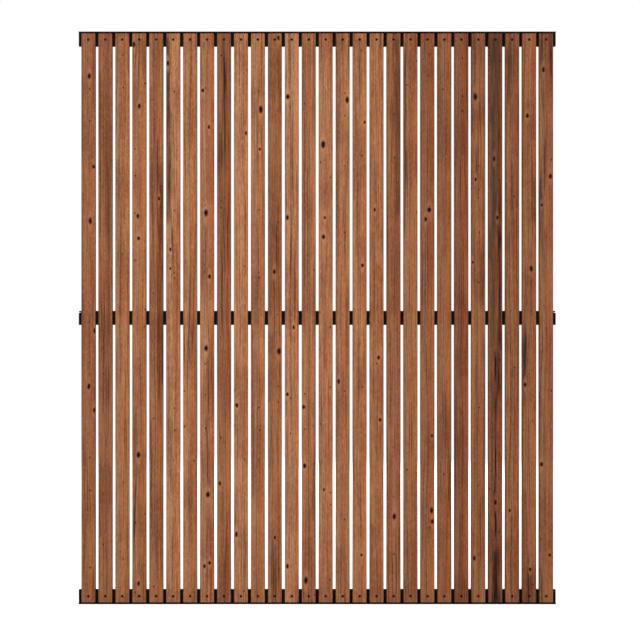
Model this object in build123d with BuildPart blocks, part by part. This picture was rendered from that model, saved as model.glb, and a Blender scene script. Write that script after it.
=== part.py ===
from build123d import *
from math import copysign
import os

os.makedirs("parts", exist_ok=True)

# A fence panel: upright wooden slats screwed to three rails of folded sheet steel.
# Lengths are in millimetres. X runs along the rails, the front looks towards -Y
# and Z is up. The origin is under the middle of the bottom rail, in the plane
# where the backs of the slats lie against the rails.

# Panel: width over the rails' end tabs, height over the outer flanges
panel_width = 1502.0
panel_height = 1800.0

# Slats
slat_width = 44.0
slat_thickness = 20.0
slat_edge_chamfer = 1.5
slat_spacing = 9.3  # gap aimed at between two slats
slat_end_gap = 3.0  # from a slat's end grain to the flange beyond it
slat_side_gap = 6.45  # from an outer slat to the end tab beside it

# Rails
sheet_thickness = 3.0
bend_radius = 1.2  # inside radius of every fold
rail_height = 44.5
middle_flange_depth = 20.0  # the middle rail's flange is folded to the back
flange_inset = 0.6  # the outer rails' flanges stop short of their end tabs
tab_depth = 10.0
middle_relief = 2.0  # height of the open corner between the middle rail's flange and tab
corner_gap = 0.5  # slit that closes the corner between an outer rail's flange and tab
relief_overrun = 0.3  # length of the corner relief beyond the tab's fold
tab_hole_diameter = 5.5

# Countersunk screws, driven from the front through each slat into an outer rail
front_screw_diameter = 4.2
front_screw_length = 30.0
front_screw_head_diameter = 8.5
front_screw_sink = 0.4  # depth of the head under the slat's face

# Hexagon screws, driven from behind through the middle rail into each slat
back_screw_diameter = 4.2
back_screw_length = 18.0
back_screw_head_width = 8.0  # across flats
back_screw_head_height = 2.6

screw_tip_length = 5.0
screw_clearance = 0.1
screw_sides = 6  # every screw and screw hole has few flats, since there are so many

# The row of slats fills the width between the end tabs
row_width = panel_width - 2 * (sheet_thickness + slat_side_gap)
slat_count = round((row_width + slat_spacing) / (slat_width + slat_spacing))
slat_pitch = (row_width - slat_width) / (slat_count - 1)
slat_xs = [(number - (slat_count - 1) / 2) * slat_pitch for number in range(slat_count)]
slat_foot = sheet_thickness + slat_end_gap
slat_length = panel_height - 2 * slat_foot
slat_front = -slat_thickness

# The front screws stand midway between a slat's end and the free edge of the rail
low_screw_z = (slat_foot + rail_height) / 2
high_screw_z = panel_height - low_screw_z
middle_z = panel_height / 2

half_width = panel_width / 2
fold_length = sheet_thickness + bend_radius  # what a fold takes up of the sheet beside it
fold_radii = [bend_radius + sheet_thickness, 0, 0, bend_radius, 0, 0]
front_screw_radius = front_screw_diameter / 2
front_head_radius = front_screw_head_diameter / 2
back_screw_radius = back_screw_diameter / 2


def facing_back(y, z):
    """A plane at depth y and height z, with X along the rails and its normal to the back."""
    return Plane(origin=(0, y, z), x_dir=(1, 0, 0), z_dir=(0, 1, 0))


def screw_section(xs, radius):
    """Screw sections at each of xs in the open sketch, radius being half their width."""
    with Locations(*[(x, 0) for x in xs]):
        RegularPolygon(radius, screw_sides, major_radius=False)


def angle_outline(corner, leg_ends):
    """Corners of an L of folded sheet, from its outer corner to the ends of its legs.

    fold_radii are the radii at these corners, in the same order.
    """
    (u, v), (u_end, v_end) = corner, leg_ends
    inner_u = u + copysign(sheet_thickness, u_end - u)
    inner_v = v + copysign(sheet_thickness, v_end - v)
    return (u, v), (u, v_end), (inner_u, v_end), (inner_u, inner_v), (u_end, inner_v), (u_end, v)


def slat():
    """A slat at x = 0, countersunk at its ends for the outer rails, piloted for the middle one."""
    hole_radius = front_screw_radius + screw_clearance
    mouth_radius = front_head_radius + front_screw_sink + screw_clearance
    pilot_depth = back_screw_length - sheet_thickness + screw_clearance
    with BuildPart() as board:
        with BuildSketch(Plane.XY.offset(slat_foot)) as board_section:
            with Locations((0, slat_front / 2)):
                Rectangle(slat_width, slat_thickness)
            chamfer(board_section.vertices(), slat_edge_chamfer)
        extrude(amount=slat_length)
        for z in (low_screw_z, high_screw_z):
            with BuildSketch(facing_back(slat_front, z)):
                screw_section([0], hole_radius)
            extrude(amount=slat_thickness, mode=Mode.SUBTRACT)
            with BuildSketch(facing_back(slat_front, z)):
                screw_section([0], mouth_radius)
            extrude(amount=mouth_radius - hole_radius, taper=45, mode=Mode.SUBTRACT)
        with BuildSketch(facing_back(0, middle_z)):
            screw_section([0], back_screw_radius + screw_clearance)
        extrude(amount=-pilot_depth, mode=Mode.SUBTRACT)
    return board.part


def folded_rail(edge_z, into, flange_y, inset, relief, screw_z, screw_radius):
    """A rail folded from sheet: a web behind the slats, a flange along its outer edge
    and a tab at each end, with a relief cut where flange and tab would meet.

    edge_z is the height of the flange's outer face, and into is 1 or -1, the way up or
    down from there over the web. flange_y is the depth of the flange's free edge,
    inset is how far the flange stops short of the ends, and relief is the height of
    the relief. Where flange and tab both point to the front, the tab reaches down to
    the flange. The screws of the slats pass the web at screw_z.
    """
    fold_y = sheet_thickness if flange_y < 0 else 0
    fold_z = edge_z + into * fold_length
    tab_z = fold_z + into * relief
    closed_z = edge_z + into * (sheet_thickness + corner_gap)
    free_z = edge_z + into * rail_height
    tab_hole_y = -(tab_depth + bend_radius) / 2
    with BuildPart() as rail:
        with BuildSketch(Plane.YZ.offset(inset - half_width)):
            with BuildLine():
                outline = angle_outline((fold_y, edge_z), (flange_y, free_z))
                FilletPolyline(*outline, radius=fold_radii, close=True)
            make_face()
        extrude(amount=2 * (half_width - inset))
        for end in (-1, 1):
            web_end = end * (half_width - fold_length - relief_overrun)
            with BuildSketch(Plane.XY.offset(fold_z)):
                with Locations(((web_end + end * half_width) / 2, sheet_thickness / 2)):
                    Rectangle(fold_length + relief_overrun, sheet_thickness)
            extrude(amount=free_z - fold_z, mode=Mode.SUBTRACT)
            with BuildSketch(Plane.XY.offset(tab_z)):
                with BuildLine():
                    corner = (end * half_width, sheet_thickness)
                    outline = angle_outline(corner, (web_end, -tab_depth))
                    FilletPolyline(*outline, radius=fold_radii, close=True)
                make_face()
            extrude(amount=free_z - tab_z)
            if flange_y < 0:
                flat_middle = (end * (half_width - sheet_thickness / 2), tab_hole_y)
                with BuildSketch(Plane.XY.offset(closed_z)):
                    with Locations(flat_middle):
                        Rectangle(sheet_thickness, tab_depth - bend_radius)
                extrude(amount=tab_z - closed_z)
            tab_face = Plane(
                origin=(end * half_width, tab_hole_y, edge_z + into * rail_height / 2),
                z_dir=(end, 0, 0),
            )
            with Locations(tab_face):
                Hole(radius=tab_hole_diameter / 2, depth=sheet_thickness)
        with BuildSketch(facing_back(0, screw_z)):
            screw_section(slat_xs, screw_radius + screw_clearance)
        extrude(amount=sheet_thickness, mode=Mode.SUBTRACT)
    return rail.part


def screw(head_radius, head_height, head_taper, radius, length):
    """One screw along +Z from its head's outer face. length is that of shank and tip."""
    tip_start = head_height + length - screw_tip_length
    with BuildPart() as driven:
        with BuildSketch():
            screw_section([0], head_radius)
        extrude(amount=head_height, taper=head_taper)
        with BuildSketch(Plane.XY.offset(head_height)):
            screw_section([0], radius)
        extrude(amount=length - screw_tip_length)
        with BuildSketch(Plane.XY.offset(tip_start)) as tip_section:
            screw_section([0], radius)
        loft([tip_section.sketch.face(), Vertex(0, 0, tip_start + screw_tip_length)], ruled=True)
    return driven.part


def screw_row(one_screw, head_y, z, into):
    """A row of screws, one for each slat, with their heads' outer faces at depth head_y.

    into is 1 for screws driven to the back and -1 for screws driven to the front.
    """
    with BuildPart() as row:
        for x in slat_xs:
            head_plane = Plane(origin=(x, head_y, z), x_dir=(1, 0, 0), z_dir=(0, into, 0))
            with Locations(head_plane):
                add(one_screw)
    return row.part


def keep(part, name):
    """Labels a finished piece and writes its file."""
    part.label = name
    export_step(part, f"parts/{name}.step")


one_slat = slat()
for number, x in enumerate(slat_xs, start=1):
    keep(Pos(x, 0, 0) * one_slat, f"slat_{number:02d}")

bottom_rail = folded_rail(
    edge_z=0,
    into=1,
    flange_y=slat_front,
    inset=flange_inset,
    relief=corner_gap,
    screw_z=low_screw_z,
    screw_radius=front_screw_radius,
)
middle_rail = folded_rail(
    edge_z=middle_z + rail_height / 2,
    into=-1,
    flange_y=middle_flange_depth,
    inset=0,
    relief=middle_relief,
    screw_z=middle_z,
    screw_radius=back_screw_radius,
)
top_rail = folded_rail(
    edge_z=panel_height,
    into=-1,
    flange_y=slat_front,
    inset=flange_inset,
    relief=corner_gap,
    screw_z=high_screw_z,
    screw_radius=front_screw_radius,
)
keep(bottom_rail, "bottom_rail")
keep(middle_rail, "middle_rail")
keep(top_rail, "top_rail")

front_head_height = front_head_radius - front_screw_radius
front_screw = screw(
    head_radius=front_head_radius,
    head_height=front_head_height,
    head_taper=45,
    radius=front_screw_radius,
    length=front_screw_length - front_head_height,
)
back_screw = screw(
    head_radius=back_screw_head_width / 2,
    head_height=back_screw_head_height,
    head_taper=0,
    radius=back_screw_radius,
    length=back_screw_length,
)
front_head_y = slat_front + front_screw_sink
back_head_y = sheet_thickness + back_screw_head_height
keep(screw_row(front_screw, front_head_y, low_screw_z, 1), "bottom_rail_screws")
keep(screw_row(back_screw, back_head_y, middle_z, -1), "middle_rail_screws")
keep(screw_row(front_screw, front_head_y, high_screw_z, 1), "top_rail_screws")
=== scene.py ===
"""A wooden fence panel: twenty-eight upright slats screwed to three black folded rails."""
import math
import random

import bmesh
import bpy
from mathutils import Matrix, Vector


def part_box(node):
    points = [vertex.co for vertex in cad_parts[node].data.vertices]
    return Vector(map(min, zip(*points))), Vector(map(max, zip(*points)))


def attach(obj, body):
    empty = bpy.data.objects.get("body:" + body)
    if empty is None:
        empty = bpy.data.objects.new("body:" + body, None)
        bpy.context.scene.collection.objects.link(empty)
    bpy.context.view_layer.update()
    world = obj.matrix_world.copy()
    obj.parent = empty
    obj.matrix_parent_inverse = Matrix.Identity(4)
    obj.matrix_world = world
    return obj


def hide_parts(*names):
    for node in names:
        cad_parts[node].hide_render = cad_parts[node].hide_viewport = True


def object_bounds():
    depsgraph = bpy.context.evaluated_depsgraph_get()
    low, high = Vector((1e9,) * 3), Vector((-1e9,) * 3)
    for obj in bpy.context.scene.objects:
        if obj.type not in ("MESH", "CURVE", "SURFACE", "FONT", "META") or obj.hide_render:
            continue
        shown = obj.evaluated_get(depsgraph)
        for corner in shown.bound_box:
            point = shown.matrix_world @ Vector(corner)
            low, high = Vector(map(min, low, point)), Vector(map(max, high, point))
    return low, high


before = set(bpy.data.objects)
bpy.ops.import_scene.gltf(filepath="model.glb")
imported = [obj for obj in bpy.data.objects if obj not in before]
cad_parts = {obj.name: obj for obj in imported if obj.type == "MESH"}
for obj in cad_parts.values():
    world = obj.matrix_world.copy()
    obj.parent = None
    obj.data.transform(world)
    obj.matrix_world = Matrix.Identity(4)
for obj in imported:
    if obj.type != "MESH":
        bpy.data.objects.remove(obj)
cad_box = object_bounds()

MM = 0.001
SLATS = sorted(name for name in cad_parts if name.startswith("slat_"))
RAILS = ("bottom_rail", "middle_rail", "top_rail")

# Places and sizes of the panel, in metres
slat_low, slat_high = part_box(SLATS[0])
slat_size = slat_high - slat_low
slat_front = slat_low[1]
slat_middle = (slat_low + slat_high) / 2
slat_places = [(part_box(name)[0][0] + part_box(name)[1][0]) / 2 for name in SLATS]
middle_screw_height = sum(corner[2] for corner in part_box("middle_rail")) / 2
web_back = 3.0 * MM
panel_height = cad_box[1][2]
sharp_angle = math.radians(35)  # edges sharper than this aren't shaded smooth

# Slats: their rounded arrises, and the countersunk holes at their ends
arris_radius = 1.5 * MM
end_arris = 0.4 * MM
countersink_radius = 4.5 * MM
countersink_depth = 3.2 * MM
hole_depth = 8.0 * MM
hole_sides = 28

# Screws: the head of a front screw lies just under the face of its slat
screw_sides = 24
shank_radius = 2.1 * MM
point_radius = 0.1 * MM
head_radius = 4.25 * MM
head_sink = 0.4 * MM
head_depth = 2.4 * MM
head_bevel = 0.3 * MM
recess_radius = 2.1 * MM
recess_depth = 1.6 * MM
recess_lobe = 0.14  # how far the lobes stand out, as a part of the recess's radius
recess_taper = 0.86  # size of the recess's floor, as a part of its mouth
thread_run = 3.0 * MM  # from the first turn of the thread to the back of the web
thread_lead = 0.2 * MM  # from the plain shank to the first turn
thread_pitch = 1.4 * MM
thread_root = 0.80  # radius between two turns, as a part of the shank's
thread_stop = 2.5 * MM  # from the last turn of the thread to the point
neck_stop = 2.2 * MM  # from where the point starts to narrow to its end
neck_radius = 0.75 * shank_radius
front_screw_length = 30.0 * MM
back_screw_length = 18.0 * MM
back_shank_length = 14.0 * MM
flange_lead = 0.2 * MM  # from the flange's face to the full shank, inside the web
hex_corner_radius = 3.9 * MM
hex_head_height = 2.6 * MM
hex_edge = 0.25 * MM

# Outlines behind the web, in mm: how far behind it, and the radius there
BURR = ((-0.2, 3.3), (0.15, 3.2), (0.55, 2.6), (0.6, 2.0))
FLANGE = ((0.9, 3.6), (0.6, 4.6), (0.0, 4.9))

# Heights of the two rows of front screws
low_screw_height = 25.25 * MM
high_screw_height = panel_height - low_screw_height

# The camera stands five metres in front of the slats, level, a little left of the middle
camera_distance = 5.0
camera_height = 0.9
camera_across = -0.09
lens = 89.5
photo_shift = (0.049, -0.0033)

# Light: how bright the white room is, and the soft lamps' places, sizes and powers
room_light = 0.42
SOFT_LIGHTS = (
    ((-2.0, -4.5, 2.6), 3.0, 175.0),
    ((2.5, -4.0, 1.8), 3.0, 75.0),
    ((0.5, 4.5, 2.4), 3.0, 85.0),
)

# How pale the wood itself is, in red, green and blue, for its tones to be seen as given
wood_paleness = (0.76, 0.81, 0.84)

# The studio floor
floor_radius = 60.0
floor_sides = 96

# The slats' tones, paler to darker, as they are seen: red, green and blue out of 255
TONES = {
    "honey": (169, 111, 77),
    "fair": (162, 104, 70),
    "plain": (156, 99, 66),
    "warm": (149, 93, 62),
    "deep": (142, 88, 59),
    "umber": (131, 77, 52),
}
TONE_OF_SLAT = (
    "warm", "deep", "plain", "plain", "warm", "honey", "fair", "fair", "warm", "honey",
    "fair", "warm", "honey", "plain", "fair", "plain", "fair", "plain", "warm", "warm",
    "deep", "deep", "umber", "deep", "umber", "deep", "deep", "deep",
)
# Slats whose upper end is darker than the lower one, and by how much
DARK_TOPS = {9: 0.30, 12: 0.20, 19: 0.20, 21: 0.15, 25: 0.20, 26: 0.15}
# Dark stains along the grain of some slats: offset to the right and half the width, lowest and
# highest point, all in mm, then how dark, from 0 to 1
STAINS = {
    2: ((10, 7, 600, 1400, 0.55), (-16, 3, 1300, 1750, 0.4)),
    5: ((5, 3, 560, 1480, 0.75), (13, 10, 620, 1390, 0.49), (16, 9, 680, 1340, 0.49)),
    6: (
        (-15, 12, 1190, 1810, 0.49), (-17, 11, 1190, 1810, 0.49), (-15, 8, 1230, 1810, 0.4),
        (-4, 3, 1030, 1200, 0.8),
    ),
    9: ((0, 8, 1480, 1795, 0.5),),
    12: ((7, 2.5, 1040, 1200, 0.95), (-1, 2.5, 820, 1050, 0.8)),
    13: ((4, 2, 1220, 1580, 0.55),),
    16: ((0, 12, 1730, 1800, 0.5),),
    17: ((-11, 1.5, 1420, 1630, 0.6),),
    19: ((12, 9, 1200, 1800, 0.65),),
    20: ((-18, 5, 1150, 1760, 0.6),),
    24: ((-19, 3, 1460, 1640, 0.7), (-5, 3, 1330, 1430, 0.7), (11, 9, 930, 1130, 0.7)),
    25: (
        (0, 16, 1150, 1800, 0.62), (-6, 8, 1180, 1800, 0.66), (0, 26, 1680, 1810, 0.6),
        (11, 4, 1440, 1500, 1.0), (-6, 4, 1385, 1432, 0.9), (12, 5, 1180, 1740, 0.7),
        (11, 5, 1190, 1260, 0.9), (13, 7, 800, 1200, 0.8), (14, 4, 800, 1180, 1.0),
        (-8, 15, 800, 1200, 0.6), (3, 12, 672, 810, 1.0), (1, 8, 590, 690, 0.8),
        (13, 11, 640, 860, 0.75), (0, 4, 190, 660, 1.0), (1, 13, -20, 190, 1.0),
        (4, 22, -40, 60, 0.8),
    ),
    26: ((-13, 9, 1560, 1760, 0.65),),
    27: ((0, 34, -60, 118, 0.4),),
    28: ((0, 6, 1120, 1190, 0.5), (12, 4, 1180, 1230, 0.6)),
}

# The larger knots of each slat: height of the knot, its offset to the right, its radius, in mm
KNOTS = {
    1: (
        (1660, 3, 4.3), (1375, 17, 3.6), (1205, 6, 4.3), (860, 20, 3.6), (685, 2, 4.3),
        (610, 19, 3.6),
    ),
    4: (
        (1760, -16, 3.6), (1565, 0, 3.6), (1220, -4, 3.6), (1150, -2, 3.6), (470, -2, 5),
        (65, -2, 3.6),
    ),
    5: ((1275, 9, 2.8),),
    6: ((1700, -16, 3.6), (1115, -9, 2.8), (1055, -9, 2.8)),
    8: (
        (1615, -13, 3.6), (1500, 6, 2.8), (1230, -3, 5), (1030, 8, 3.6), (805, -3, 5),
        (345, 3, 5), (130, 8, 3.6), (120, -8, 3.6),
    ),
    9: ((380, -13, 3.6),),
    10: ((1480, 16, 2.8), (625, -13, 3.6), (220, -14, 3.6)),
    11: ((1555, 9, 5), (1430, 6, 2.8)),
    12: ((1780, 11, 3.6), (1045, -2, 3.6), (795, 13, 5), (210, 0, 2.8)),
    13: ((1595, -13, 5), (1215, -14, 3.6), (870, 6, 2.8), (660, -14, 3.6), (120, -14, 3.6)),
    14: ((620, -16, 3.6), (435, -13, 4.3), (75, -9, 5)),
    15: ((1445, -8, 5), (1215, -3, 2.8), (1155, -7, 4.3), (360, -6, 2.8)),
    16: ((1585, 14, 4.3), (700, -13, 3.6)),
    17: ((1515, 16, 2.8), (1065, 9, 3.6), (155, 6, 2.8)),
    18: ((1240, -6, 2.8), (775, 6, 3.6), (580, 11, 3.6)),
    19: ((275, 2, 4.3),),
    21: ((1240, 5, 5), (1210, -6, 3.6), (530, 14, 2.8), (295, 13, 4.3), (260, 15, 3.6)),
    24: ((1595, -10, 5), (1335, -9, 2.8), (1075, -17, 2.8), (145, -13, 3.6)),
    25: ((1400, -4, 3.6), (1215, 6, 3.6), (320, 0, 3.6)),
    26: ((295, -8, 2.8),),
    27: ((1535, -6, 4.3), (1055, 6, 4.3), (690, -13, 3.6), (110, 3, 3.6)),
    28: ((1680, -9, 3.6), (1345, 13, 4.3), (1255, -14, 2.8), (440, -15, 4.3), (155, 11, 3.6)),
}

# Patterns in the wood: repeats in a metre across, through and along the slat, where the pattern
# starts, its detail and its roughness
PATTERNS = {
    "wander": ((6, 6, 2.2), (0, 0, 0), 3.0, 0.55),
    "ring_reach": ((60, 60, 3), (0, 0, 0), 2.0, 0.55),
    "band": ((55, 55, 0.8), (0, 0, 0), 2.0, 0.55),
    "streak": ((210, 210, 2.0), (0, 0, 0), 3.0, 0.6),
    "dark_line": ((330, 330, 2.6), (3, 0, 0), 3.0, 0.65),
    "fibre": ((1300, 1300, 24), (0, 0, 0), 2.0, 0.6),
    "patch": ((30, 30, 7.0), (0, 0, 0), 3.0, 0.55),
    "cloud": ((9, 9, 5.0), (0, 0, 3), 4.0, 0.6),
    "fleck": ((300, 300, 85), (11, 0, 0), 2.0, 0.6),
    "sap": ((120, 120, 2.0), (7, 0, 0), 4.0, 0.7),
    "sap_reach": ((22, 22, 1.8), (9, 0, 0), 2.0, 0.55),
    "stain_side": ((150, 150, 9), (0, 0, 0), 3.0, 0.55),
    "stain_mottle": ((260, 260, 7), (2, 0, 0), 3.0, 0.6),
}

# How the parts of the grain differ from their slat's tone: its red, green and blue times these
SHADES = {
    "pale_band": (1.16, 1.17, 1.12),
    "dark_band": (0.77, 0.68, 0.68),
    "streak": (1.12, 1.32, 1.28),
    "patch": (1.16, 0.90, 0.85),
    "dark_cloud": (0.60, 0.50, 0.52),
    "pale_cloud": (1.16, 1.28, 1.25),
    "late_wood": (0.40, 0.28, 0.28),
    "dark_line": (0.26, 0.19, 0.20),
    "fibre": (0.28, 0.22, 0.22),
    "dark_fleck": (0.42, 0.33, 0.34),
    "pale_fleck": (1.35, 1.50, 1.45),
    "dark_top": (0.25, 0.16, 0.18),
    "light_stain": (0.10, 0.05, 0.06),
    "knot_halo": (1.22, 1.30, 1.25),
}

# Colours that are the same on every slat
BLACK_STAIN = (0.008, 0.004, 0.003, 1.0)
BROWN_STAIN = (0.030, 0.016, 0.009, 1.0)
PIN_KNOT = (0.018, 0.004, 0.002, 1.0)
KNOT_RIM = (0.050, 0.012, 0.006, 1.0)
KNOT_CORE = (0.006, 0.0015, 0.001, 1.0)
# The colour of the painted shade on the slats' long edges and sides
PAINTED_EDGE_SHADE = (0.028, 0.010, 0.006, 1.0)

# Growth rings: how far the tree's heart lies from a slat's middle, across and in depth, in mm,
# how far its line leans from the slat's, in degrees, and how close and how wavy the rings are
heart_offset = (8, 50)
heart_depth = (5, 45)
heart_slant = (-12, 12)
heart_lean = (-10, 10)
ring_scale = (45, 85)
ring_stretch = 0.05  # the rings' length along the slat
ring_waviness = 3.0

# Knots: how much longer than wide, how ragged, how far their parts reach in radii, how wide and
# how long their halo is, and how the grain is pushed aside round them
knot_length = (1.3, 2.0)
knot_raggedness = 1.3
core_edge = (1.42, 1.75)
rim_edge = (1.60, 2.45)
halo_edge = (0.1, 1.6)
halo_width = 0.55
halo_length = 0.22
grain_push = 0.7
grain_push_fall = 1.6
faint_halo = 0.45
faint_rim = 0.8

wander_reach = 8 * MM  # of the grain, to a side along a slat
start_range = (5, 60)  # where in the patterns a slat may lie
dark_top_heights = (0.3, 1.7)  # between which the darker upper ends set in
stain_edge = (1.45, 2.15)  # between which a stain fades to its sides, in half widths
stain_ends = (-12 * MM, 45 * MM)  # between which it sets in at either end
pin_knot_cells = (32, 1, 20)  # in a metre across, through and along the slat

# Painted shade on the long edges: from where to where it sets in on the face, and falls off on the
# side
edge_shade_start, edge_shade_end = 20.4 * MM, 21.7 * MM
side_shade_start, side_shade_end = 21.80 * MM, 21.98 * MM


def add_camera():
    """The level camera in front of the panel."""
    bpy.ops.object.camera_add(
        location=(camera_across, slat_front - camera_distance, camera_height),
        rotation=(math.pi / 2, 0, 0),
    )
    camera = bpy.context.object
    camera.data.lens = lens
    camera.data.shift_x, camera.data.shift_y = photo_shift
    bpy.context.scene.camera = camera


def add_lights():
    """A white room that lights from everywhere, and three large soft lamps."""
    world = bpy.data.worlds.new("white_room")
    bpy.context.scene.world = world
    world.use_nodes = True
    background = world.node_tree.nodes["Background"]
    background.inputs["Color"].default_value = (1.0, 1.0, 1.0, 1.0)
    seen = world.node_tree.nodes.new("ShaderNodeLightPath").outputs["Is Camera Ray"]
    world.node_tree.links.new(
        fade(world.node_tree, seen, 0.0, 1.0, room_light, 1.0), background.inputs["Strength"]
    )
    for place, size, energy in SOFT_LIGHTS:
        bpy.ops.object.light_add(type="AREA", location=place)
        light = bpy.context.object
        towards_panel = Vector((0, 0, camera_height)) - light.location
        light.rotation_euler = towards_panel.to_track_quat("-Z", "Y").to_euler()
        light.data.size = size
        light.data.energy = energy


def add_floor(colour):
    """A wide pale studio floor that the panel stands on."""
    bpy.ops.mesh.primitive_circle_add(vertices=floor_sides, radius=floor_radius, fill_type="NGON")
    floor = bpy.context.object
    floor.name = "studio_floor"
    floor.data.materials.append(colour)


def start_piece(name):
    """Names the primitive just added, applies its place and size, and opens it in edit mode."""
    piece = bpy.context.object
    piece.name = piece.data.name = name
    bpy.ops.object.transform_apply(location=True, rotation=True, scale=True)
    bpy.ops.object.mode_set(mode="EDIT")
    return piece


def pick(piece, kind, wanted):
    """Selects the faces or edges for which wanted is true, in edit mode."""
    bpy.ops.mesh.select_all(action="DESELECT")
    bpy.ops.mesh.select_mode(type="FACE" if kind == "faces" else "EDGE")
    mesh = bmesh.from_edit_mesh(piece.data)
    for part in getattr(mesh, kind):
        part.select_set(bool(wanted(part)))
    mesh.select_flush_mode()
    bmesh.update_edit_mesh(piece.data)


def leave_edit():
    """Goes back to object mode with nothing selected."""
    bpy.ops.object.mode_set(mode="OBJECT")
    bpy.ops.object.select_all(action="DESELECT")


def make_active(piece):
    """Selects one piece alone."""
    bpy.ops.object.select_all(action="DESELECT")
    piece.select_set(True)
    bpy.context.view_layer.objects.active = piece


def apply_modifiers(piece):
    """Makes what the piece's modifiers do part of its mesh."""
    make_active(piece)
    for modifier in list(piece.modifiers):
        bpy.ops.object.modifier_apply(modifier=modifier.name)


def smooth_by_angle(piece):
    """Shades the piece smooth but for its sharp edges."""
    make_active(piece)
    bpy.ops.object.shade_smooth_by_angle(angle=sharp_angle)


def turned(name, profile, sides, place=(0.0, 0.0)):
    """A round piece about a line along Y: its profile is a list of (y, radius), front to back."""
    bpy.ops.object.select_all(action="DESELECT")
    y, radius = profile[0]
    bpy.ops.mesh.primitive_circle_add(
        vertices=sides, radius=radius, fill_type="NGON",
        location=(place[0], y, place[1]), rotation=(math.pi / 2, 0, 0),
    )
    piece = start_piece(name)
    bpy.ops.mesh.select_mode(type="FACE")
    bpy.ops.mesh.select_all(action="SELECT")
    for next_y, next_radius in profile[1:]:
        bpy.ops.mesh.extrude_region_move(TRANSFORM_OT_translate={"value": (0, next_y - y, 0)})
        size = next_radius / radius
        bpy.ops.transform.resize(
            value=(size, 1, size), center_override=(place[0], next_y, place[1])
        )
        y, radius = next_y, next_radius
    bpy.ops.mesh.select_all(action="SELECT")
    bpy.ops.mesh.normals_make_consistent(inside=False)
    leave_edit()
    return piece


def copies(piece, places, name):
    """One mesh with a copy of the piece at each x and z in places."""
    made = []
    for x, z in places:
        copy = bpy.data.objects.new(name, piece.data.copy())
        copy.data.transform(Matrix.Translation((x, 0.0, z)))
        bpy.context.collection.objects.link(copy)
        made.append(copy)
    bpy.ops.object.select_all(action="DESELECT")
    for copy in made:
        copy.select_set(True)
    bpy.context.view_layer.objects.active = made[0]
    bpy.ops.object.join()
    row = bpy.context.object
    row.name = row.data.name = name
    return row


def model_slat():
    """A slat at x = 0, with its long arrises rounded and a countersunk hole near each end."""
    bpy.ops.object.select_all(action="DESELECT")
    bpy.ops.mesh.primitive_cube_add(
        size=1.0, location=(0.0, slat_middle[1], slat_middle[2]), scale=slat_size
    )
    slat = start_piece("slat")
    pick(slat, "edges", lambda edge: abs(edge.verts[0].co.z - edge.verts[1].co.z) > 1.0)
    bpy.ops.mesh.bevel(offset=arris_radius, segments=4, affect="EDGES")
    leave_edit()
    ends = slat.modifiers.new("end_arrises", "BEVEL")
    ends.width = end_arris
    ends.segments = 2
    ends.limit_method = "ANGLE"
    ends.angle_limit = math.radians(60)
    for height in (low_screw_height, high_screw_height):
        hole = turned(
            "countersink",
            [
                (slat_front - 1 * MM, countersink_radius),
                (slat_front + head_sink, countersink_radius),
                (slat_front + countersink_depth, shank_radius),
                (slat_front + hole_depth, shank_radius),
            ],
            hole_sides,
            (0.0, height),
        )
        cut = slat.modifiers.new("countersink", "BOOLEAN")
        cut.operation = "DIFFERENCE"
        cut.object = hole
        cut.solver = "EXACT"
        apply_modifiers(slat)
        bpy.data.objects.remove(hole)
    smooth_by_angle(slat)
    return slat


def screw_thread(start, end):
    """Profile of a threaded shank from start to end, along Y."""
    profile = []
    y = start
    while end - y > thread_pitch:
        profile += [(y, shank_radius * thread_root), (y + thread_pitch / 2, shank_radius)]
        y += thread_pitch
    return profile


def joined(first, second):
    """Two pieces made into one, which keeps the name of the first."""
    bpy.ops.object.select_all(action="DESELECT")
    second.select_set(True)
    first.select_set(True)
    bpy.context.view_layer.objects.active = first
    bpy.ops.object.join()
    smooth_by_angle(first)
    return first


def model_front_screw():
    """A countersunk screw with a six-lobed recess, threaded to its point behind the rail."""
    face = slat_front + head_sink
    tip = face + front_screw_length
    thread = screw_thread(web_back - thread_run, tip - thread_stop)
    profile = [
        (face, head_radius - head_bevel),
        (face + head_bevel, head_radius),
        (face + head_depth, shank_radius),
        (web_back - thread_run - thread_lead, shank_radius),
        *thread,
        (tip - neck_stop, neck_radius),
        (tip, point_radius),
    ]
    screw = turned("front_screw", profile, screw_sides)
    make_active(screw)
    bpy.ops.object.mode_set(mode="EDIT")
    pick(screw, "faces", lambda part: abs(part.calc_center_median().y - face) < 1e-6)
    bpy.ops.mesh.inset(thickness=head_radius - head_bevel - recess_radius)
    lobes = bmesh.from_edit_mesh(screw.data)
    for corner in lobes.verts:
        if corner.select:
            turn = math.atan2(corner.co.z, corner.co.x)
            size = 1 - recess_lobe + recess_lobe * math.cos(6 * turn)
            corner.co.x *= size
            corner.co.z *= size
    bmesh.update_edit_mesh(screw.data)
    bpy.ops.mesh.extrude_region_move(TRANSFORM_OT_translate={"value": (0, recess_depth, 0)})
    bpy.ops.transform.resize(
        value=(recess_taper, 1, recess_taper), center_override=(0, face + recess_depth, 0)
    )
    leave_edit()
    burr = turned("burr", [(web_back + y * MM, radius * MM) for y, radius in BURR], screw_sides)
    return joined(screw, burr)


def model_back_screw():
    """A hexagon screw with a round flange, driven from behind through the middle rail."""
    flange = [(web_back + y * MM, radius * MM) for y, radius in FLANGE]
    shank = [
        (web_back - flange_lead, shank_radius),
        (web_back - back_shank_length, shank_radius),
        (web_back - back_screw_length, point_radius),
    ]
    screw = turned("back_screw", flange + shank, screw_sides)
    bpy.ops.mesh.primitive_cylinder_add(
        vertices=6, radius=hex_corner_radius, depth=hex_head_height,
        location=(0.0, web_back + hex_head_height / 2, 0.0), rotation=(math.pi / 2, 0, 0),
    )
    head = start_piece("hex_head")
    leave_edit()
    edges = head.modifiers.new("edges", "BEVEL")
    edges.width = hex_edge
    edges.segments = 2
    apply_modifiers(head)
    return joined(screw, head)


# Materials

def linear(tone):
    """A tone given out of 255, as it is seen, as the linear colour that a shader takes."""
    return tuple((part / 255) ** 2.2 for part in tone) + (1.0,)


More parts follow.
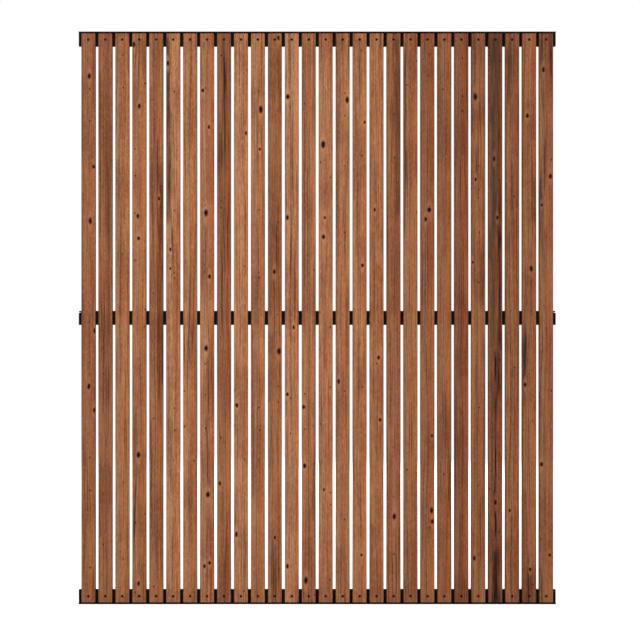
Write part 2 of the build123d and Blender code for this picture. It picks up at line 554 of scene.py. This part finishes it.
def put(tree, socket, value):
    """Links a socket to another node's output, or sets it to a number or colour."""
    if isinstance(value, bpy.types.NodeSocket):
        tree.links.new(value, socket)
    else:
        socket.default_value = value


def sum_node(tree, operation, first, second=0.0, third=0.0):
    """The result of one sum on numbers or sockets."""
    node = tree.nodes.new("ShaderNodeMath")
    node.operation = operation
    for socket, value in zip(node.inputs, (first, second, third)):
        put(tree, socket, value)
    return node.outputs[0]


def fade(tree, value, start, end, low=0.0, high=1.0):
    """A value that goes smoothly from low to high as another goes from start to end."""
    node = tree.nodes.new("ShaderNodeMapRange")
    node.interpolation_type = "SMOOTHSTEP"
    for name, given in zip(("Value", "From Min", "From Max", "To Min", "To Max"),
                           (value, start, end, low, high)):
        put(tree, node.inputs[name], given)
    return node.outputs[0]


def placed(tree, vector, scale=(1, 1, 1), shift=(0, 0, 0), turn=(0, 0, 0)):
    """A place, scaled, then turned, then shifted."""
    node = tree.nodes.new("ShaderNodeMapping")
    put(tree, node.inputs["Vector"], vector)
    node.inputs["Scale"].default_value = scale
    node.inputs["Location"].default_value = shift
    node.inputs["Rotation"].default_value = turn
    return node.outputs[0]


def noise(tree, vector, scale, detail=3.0, roughness=0.55):
    """A soft irregular pattern from 0 to 1."""
    node = tree.nodes.new("ShaderNodeTexNoise")
    put(tree, node.inputs["Vector"], vector)
    node.inputs["Scale"].default_value = scale
    node.inputs["Detail"].default_value = detail
    node.inputs["Roughness"].default_value = roughness
    return node.outputs["Fac"]


def pattern(tree, vector, name, start=None):
    """One of the wood's patterns, from its own start or a given one."""
    repeats, own_start, detail, roughness = PATTERNS[name]
    return noise(tree, placed(tree, vector, repeats, start or own_start), 1.0, detail, roughness)


def mixed(tree, amount, first, second):
    """The first colour where amount is 0, and the second where it is 1."""
    node = tree.nodes.new("ShaderNodeMix")
    node.data_type = "RGBA"
    put(tree, node.inputs[0], amount)
    put(tree, node.inputs[6], first)
    put(tree, node.inputs[7], second)
    return node.outputs[2]


def new_material(name):
    """A new material with its node tree, its shader and the place on the piece."""
    material = bpy.data.materials.new(name)
    material.use_nodes = True
    tree = material.node_tree
    shader = tree.nodes["Principled BSDF"]
    coordinates = tree.nodes.new("ShaderNodeTexCoord").outputs["Object"]
    return material, tree, shader, coordinates


def new_group(name, inputs, outputs):
    """A node group that takes a place and some numbers, with its inputs and outputs."""
    tree = bpy.data.node_groups.new(name, "ShaderNodeTree")
    face = tree.interface
    for in_out, names in (("INPUT", ("Vector", *inputs)), ("OUTPUT", outputs)):
        for socket in names:
            kind = "NodeSocketVector" if socket == "Vector" else "NodeSocketFloat"
            face.new_socket(socket, in_out=in_out, socket_type=kind)
    start = tree.nodes.new("NodeGroupInput").outputs
    end = tree.nodes.new("NodeGroupOutput").inputs
    return tree, start, end


def use_group(tree, group, vector, **given):
    """The outputs of a node group at a place, with its numbers as given."""
    node = tree.nodes.new("ShaderNodeGroup")
    node.node_tree = group
    put(tree, node.inputs["Vector"], vector)
    for name, value in given.items():
        node.inputs[name].default_value = value
    return node.outputs


def knot_group():
    """A knot through a slat: its dark core and rim, its pale halo and the grain bent round it."""
    tree, start, end = new_group(
        "knot", ("Across", "Height", "Radius", "Length"), ("Vector", "Core", "Rim", "Halo")
    )
    split = tree.nodes.new("ShaderNodeSeparateXYZ")
    put(tree, split.inputs[0], start["Vector"])
    off = sum_node(tree, "SUBTRACT", split.outputs[0], start["Across"])
    across = sum_node(tree, "DIVIDE", off, start["Radius"])
    above = sum_node(tree, "SUBTRACT", split.outputs[2], start["Height"])
    height = sum_node(tree, "DIVIDE", above, start["Length"])
    distance = sum_node(tree, "SQRT", sum_of_squares(tree, across, height))
    rough = noise(tree, start["Vector"], 260.0, 2.0)
    ragged = sum_node(tree, "MULTIPLY_ADD", rough, knot_raggedness, distance)
    put(tree, end["Core"], fade(tree, ragged, *core_edge, 1.0, 0.0))
    put(tree, end["Rim"], fade(tree, ragged, *rim_edge, 1.0, 0.0))
    sideways = sum_node(tree, "MULTIPLY", across, halo_width)
    lengthways = sum_node(tree, "MULTIPLY", height, halo_length)
    near = sum_of_squares(tree, sideways, lengthways)
    put(tree, end["Halo"], fade(tree, near, *halo_edge, 1.0, 0.0))
    fall = sum_node(tree, "POWER", math.e, sum_node(tree, "MULTIPLY", near, -grain_push_fall))
    push = sum_node(tree, "MULTIPLY", sum_node(tree, "MULTIPLY", fall, -grain_push), off)
    bent = tree.nodes.new("ShaderNodeCombineXYZ")
    put(tree, bent.inputs[0], sum_node(tree, "ADD", split.outputs[0], push))
    put(tree, bent.inputs[1], split.outputs[1])
    put(tree, bent.inputs[2], split.outputs[2])
    put(tree, end["Vector"], bent.outputs[0])
    return tree


def sum_of_squares(tree, first, second):
    """The squares of two numbers, added."""
    squared = sum_node(tree, "MULTIPLY", first, first)
    return sum_node(tree, "MULTIPLY_ADD", second, second, squared)


def shaded(tone, red, green, blue):
    """A tone made paler or darker, each of its parts times a number."""
    return (tone[0] * red, tone[1] * green, tone[2] * blue, 1.0)


def stain_group():
    """A dark stain along the grain, ragged at its sides and faint towards its ends."""
    tree, start, end = new_group(
        "stain", ("Across", "Width", "Low", "High", "Strength"), ("Amount",)
    )
    split = tree.nodes.new("ShaderNodeSeparateXYZ")
    put(tree, split.inputs[0], start["Vector"])
    off = sum_node(tree, "ABSOLUTE", sum_node(tree, "SUBTRACT", split.outputs[0], start["Across"]))
    side = sum_node(tree, "DIVIDE", off, start["Width"])
    ragged = pattern(tree, start["Vector"], "stain_side")
    side = sum_node(tree, "MULTIPLY_ADD", ragged, 2.0, side)
    amount = fade(tree, side, *stain_edge, 1.0, 0.0)
    above = sum_node(tree, "SUBTRACT", split.outputs[2], start["Low"])
    below = sum_node(tree, "SUBTRACT", start["High"], split.outputs[2])
    for inside in (above, below):
        amount = sum_node(tree, "MULTIPLY", amount, fade(tree, inside, *stain_ends))
    mottled = pattern(tree, start["Vector"], "stain_mottle")
    amount = sum_node(tree, "MULTIPLY", amount, fade(tree, mottled, 0.40, 0.58, 0.42, 1.0))
    put(tree, end["Amount"], sum_node(tree, "MULTIPLY", amount, start["Strength"]))
    return tree


def past_knots(tree, number, vector, knot, chance):
    """Bends a slat's grain round each of its knots, and gathers their cores, rims and halos."""
    core, rim, halo = 0.0, 0.0, 0.0
    for height, across, radius in KNOTS.get(number, ()):
        here = use_group(
            tree, knot, vector, Across=across * MM, Height=height * MM, Radius=radius * MM,
            Length=radius * chance.uniform(*knot_length) * MM,
        )
        vector = here["Vector"]
        core = sum_node(tree, "MAXIMUM", core, here["Core"])
        rim = sum_node(tree, "MAXIMUM", rim, here["Rim"])
        halo = sum_node(tree, "MAXIMUM", halo, here["Halo"])
    return vector, core, rim, halo


def wandering_grain(tree, vector, far):
    """The grain wanders a few millimetres to the side along the slat."""
    wander = pattern(tree, vector, "wander", (far, 0, 0))
    sideways = tree.nodes.new("ShaderNodeCombineXYZ")
    drift = sum_node(tree, "MULTIPLY_ADD", wander, 2 * wander_reach, -wander_reach)
    put(tree, sideways.inputs[0], drift)
    wandering = tree.nodes.new("ShaderNodeVectorMath")
    wandering.operation = "ADD"
    put(tree, wandering.inputs[0], vector)
    put(tree, wandering.inputs[1], sideways.outputs[0])
    return wandering.outputs[0]


def growth_rings(tree, wandering, grain, chance):
    """The dark late wood of rings sawn at a slant, clear in some places and faint in others."""
    rings = tree.nodes.new("ShaderNodeTexWave")
    rings.wave_type = "RINGS"
    rings.rings_direction = "Z"
    rings.wave_profile = "SAW"
    across = chance.choice((-1, 1)) * chance.uniform(*heart_offset) * MM
    depth = chance.uniform(*heart_depth) * MM
    slant = math.radians(chance.uniform(*heart_slant))
    lean = math.radians(chance.uniform(*heart_lean))
    place = placed(tree, wandering, (1, 1, ring_stretch), (across, depth, 0), (slant, lean, 0))
    put(tree, rings.inputs["Vector"], place)
    rings.inputs["Scale"].default_value = chance.uniform(*ring_scale)
    rings.inputs["Distortion"].default_value = ring_waviness
    rings.inputs["Detail"].default_value = 3.0
    rings.inputs["Detail Scale"].default_value = 1.5
    late_wood = fade(tree, rings.outputs["Fac"], 0.5, 1.0)
    reach = fade(tree, pattern(tree, grain, "ring_reach"), 0.38, 0.62, 0.1, 0.60)
    return sum_node(tree, "MULTIPLY", late_wood, reach)


def stained(tree, number, colour, wandering, stain, light_stain):
    """Adds a slat's own stains: faint ones in the wood's tone, stronger ones brown or black."""
    for across, half_width, low, high, strength in STAINS.get(number, ()):
        here = use_group(
            tree, stain, wandering, Across=across * MM, Width=half_width * MM, Low=low * MM,
            High=high * MM, Strength=strength,
        )
        stain_colour = light_stain
        if strength > 0.7:
            stain_colour = BLACK_STAIN
        elif strength > 0.5:
            stain_colour = BROWN_STAIN
        colour = mixed(tree, here["Amount"], colour, stain_colour)
    return colour


def pin_knots(tree, vector, far):
    """Where the pin knots are: a dot in one cell out of ten or so."""
    pins = tree.nodes.new("ShaderNodeTexVoronoi")
    pins.voronoi_dimensions = "2D"
    cells = placed(tree, vector, pin_knot_cells, (far, far, 0), (math.pi / 2, 0, 0))
    put(tree, pins.inputs["Vector"], cells)
    pins.inputs["Scale"].default_value = 1.0
    chosen = fade(tree, noise_of_cell(tree, pins), 0.78, 0.98)
    dot = fade(tree, pins.outputs["Distance"], 0.04, 0.09, 1.0, 0.0)
    return sum_node(tree, "MULTIPLY", dot, chosen)


def slat_wood(number, knot, stain, chance):
    """Oiled softwood: growth rings, fibres, streaks, stains and the knots of one slat, and painted
    shade on its long edges and sides.
    """
    material, tree, shader, coordinates = new_material(f"slat_wood_{number:02d}")
    on_slat = placed(tree, coordinates, shift=(-slat_places[number - 1], 0, 0))
    vector, core, rim, halo = past_knots(tree, number, on_slat, knot, chance)
    far = chance.uniform(*start_range)
    wandering = wandering_grain(tree, vector, far)
    grain = placed(tree, wandering, shift=(far, far / 3, 0))
    late_wood = growth_rings(tree, wandering, grain, chance)
    streak = pattern(tree, grain, "streak")
    cloud = pattern(tree, grain, "cloud")
    fibre = pattern(tree, grain, "fibre")
    fleck = pattern(tree, grain, "fleck")
    tone = shaded(linear(TONES[TONE_OF_SLAT[number - 1]]), *wood_paleness)
    shade = {name: shaded(tone, *parts) for name, parts in SHADES.items()}

    # From broad bands to fine fibres: where each pattern sets in, and how strongly
    band = fade(tree, pattern(tree, grain, "band"), 0.43, 0.57)
    colour = mixed(tree, band, shade["pale_band"], shade["dark_band"])
    for name, strength in (
        ("streak", fade(tree, streak, 0.48, 0.62, 0.0, 0.8)),
        ("patch", fade(tree, pattern(tree, grain, "patch"), 0.46, 0.62, 0.0, 0.55)),
        ("dark_cloud", fade(tree, cloud, 0.36, 0.52, 0.60, 0.0)),
        ("pale_cloud", fade(tree, cloud, 0.50, 0.64, 0.0, 0.7)),
        ("late_wood", late_wood),
        ("dark_line", fade(tree, pattern(tree, grain, "dark_line"), 0.52, 0.63, 0.0, 0.8)),
        ("fibre", fade(tree, fibre, 0.32, 0.62, 0.40, 0.0)),
        ("dark_fleck", fade(tree, fleck, 0.32, 0.50, 0.34, 0.0)),
        ("pale_fleck", fade(tree, fleck, 0.50, 0.68, 0.0, 0.28)),
    ):
        colour = mixed(tree, strength, colour, shade[name])

    # Darker upper ends, stains and dark sap
    split = tree.nodes.new("ShaderNodeSeparateXYZ")
    put(tree, split.inputs[0], on_slat)
    if number in DARK_TOPS:
        amount = fade(tree, split.outputs[2], *dark_top_heights, 0.0, DARK_TOPS[number])
        colour = mixed(tree, amount, colour, shade["dark_top"])
    colour = stained(tree, number, colour, wandering, stain, shade["light_stain"])
    sap = fade(tree, pattern(tree, grain, "sap"), 0.47, 0.64)
    sap_reach = fade(tree, pattern(tree, grain, "sap_reach"), 0.55, 0.68, 0.0, 0.88)
    colour = mixed(tree, sum_node(tree, "MULTIPLY", sap, sap_reach), colour, BLACK_STAIN)

    # Knots: small ones all over, and the slat's own with their rims and pale halos
    colour = mixed(tree, pin_knots(tree, vector, far), colour, PIN_KNOT)
    if number in KNOTS:
        halo = sum_node(tree, "MULTIPLY", halo, faint_halo)
        rim = sum_node(tree, "MULTIPLY", rim, faint_rim)
        colour = mixed(tree, halo, colour, shade["knot_halo"])
        colour = mixed(tree, rim, colour, KNOT_RIM)
        colour = mixed(tree, core, colour, KNOT_CORE)

    # Painted shade: the long edges are painted darker than the faces, and the sides a little, for
    # the shade that falls there
    from_middle = sum_node(tree, "ABSOLUTE", split.outputs[0])
    edge = fade(tree, from_middle, edge_shade_start, edge_shade_end, 0.0, 0.70)
    shade_on_side = fade(tree, from_middle, side_shade_start, side_shade_end, 1.0, 0.40)
    colour = mixed(tree, sum_node(tree, "MULTIPLY", edge, shade_on_side), colour, PAINTED_EDGE_SHADE)
    put(tree, shader.inputs["Base Color"], colour)
    put(tree, shader.inputs["Roughness"], fade(tree, streak, 0.3, 0.7, 0.64, 0.78))
    shader.inputs["Specular IOR Level"].default_value = 0.06
    add_relief(tree, shader, sum_node(tree, "MULTIPLY_ADD", late_wood, 0.6, fibre), 0.6, 0.3 * MM)
    return material


def add_relief(tree, shader, height, strength, depth):
    """Gives a surface fine relief of the given depth."""
    bump = tree.nodes.new("ShaderNodeBump")
    bump.inputs["Strength"].default_value = strength
    bump.inputs["Distance"].default_value = depth
    put(tree, bump.inputs["Height"], height)
    put(tree, shader.inputs["Normal"], bump.outputs[0])


def noise_of_cell(tree, cells):
    """One random number for each cell of a cell pattern."""
    split = tree.nodes.new("ShaderNodeSeparateColor")
    put(tree, split.inputs[0], cells.outputs["Color"])
    return split.outputs[0]


def black_coat():
    """Matt black powder coat over folded steel, with its fine orange peel."""
    material, tree, shader, coordinates = new_material("rail_coat")
    cloud = noise(tree, coordinates, 9.0, 4.0)
    black, worn_black = (0.003, 0.003, 0.0035, 1.0), (0.007, 0.007, 0.0075, 1.0)
    colour = mixed(tree, fade(tree, cloud, 0.35, 0.7), black, worn_black)
    put(tree, shader.inputs["Base Color"], colour)
    put(tree, shader.inputs["Roughness"], fade(tree, cloud, 0.3, 0.7, 0.48, 0.62))
    shader.inputs["Specular IOR Level"].default_value = 0.10
    add_relief(tree, shader, noise(tree, coordinates, 900.0, 2.0), 0.35, 0.05 * MM)
    return material


def black_screw_steel():
    """Black-coated hardened steel of the screws, rubbed a little paler in fine patches."""
    material, tree, shader, coordinates = new_material("screw_steel")
    rubbed = noise(tree, coordinates, 700.0, 3.0)
    black, rubbed_steel = (0.003, 0.002, 0.002, 1.0), (0.011, 0.007, 0.005, 1.0)
    colour = mixed(tree, fade(tree, rubbed, 0.5, 0.75), black, rubbed_steel)
    put(tree, shader.inputs["Base Color"], colour)
    put(tree, shader.inputs["Roughness"], fade(tree, rubbed, 0.3, 0.7, 0.34, 0.5))
    shader.inputs["Specular IOR Level"].default_value = 0.08
    return material


def floor_white():
    """White studio floor, with faint mottling."""
    material, tree, shader, coordinates = new_material("studio_white")
    cloud = noise(tree, coordinates, 1.5, 2.0)
    colour = mixed(tree, cloud, (0.93, 0.93, 0.93, 1.0), (0.96, 0.96, 0.96, 1.0))
    put(tree, shader.inputs["Base Color"], colour)
    shader.inputs["Roughness"].default_value = 0.9
    shader.inputs["Emission Color"].default_value = (1.0, 1.0, 1.0, 1.0)
    shader.inputs["Emission Strength"].default_value = 0.6
    return material


bpy.context.scene.view_settings.view_transform = "Standard"
add_camera()
add_lights()
add_floor(floor_white())

knot = knot_group()
stain = stain_group()
plain_slat = model_slat()
for number, (name, x) in enumerate(zip(SLATS, slat_places), start=1):
    board = bpy.data.objects.new(f"board_{number:02d}", plain_slat.data.copy())
    board.data.transform(Matrix.Translation((x, 0.0, 0.0)))
    board.data.name = board.name
    bpy.context.collection.objects.link(board)
    board.data.materials.append(slat_wood(number, knot, stain, random.Random(100 + number)))
    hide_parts(name)
    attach(board, "root")
bpy.data.objects.remove(plain_slat)

coat = black_coat()
for name in RAILS:
    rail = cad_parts[name]
    rail.data.materials.clear()
    rail.data.materials.append(coat)

screw_steel = black_screw_steel()
front_screw = model_front_screw()
back_screw = model_back_screw()
for piece_name, screw, node, height in (
    ("bottom_screws", front_screw, "bottom_rail_screws", low_screw_height),
    ("middle_screws", back_screw, "middle_rail_screws", middle_screw_height),
    ("top_screws", front_screw, "top_rail_screws", high_screw_height),
):
    row = copies(screw, [(x, height) for x in slat_places], piece_name)
    row.data.materials.clear()
    row.data.materials.append(screw_steel)
    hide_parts(node)
    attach(row, "root")
bpy.data.objects.remove(front_screw)
bpy.data.objects.remove(back_screw)
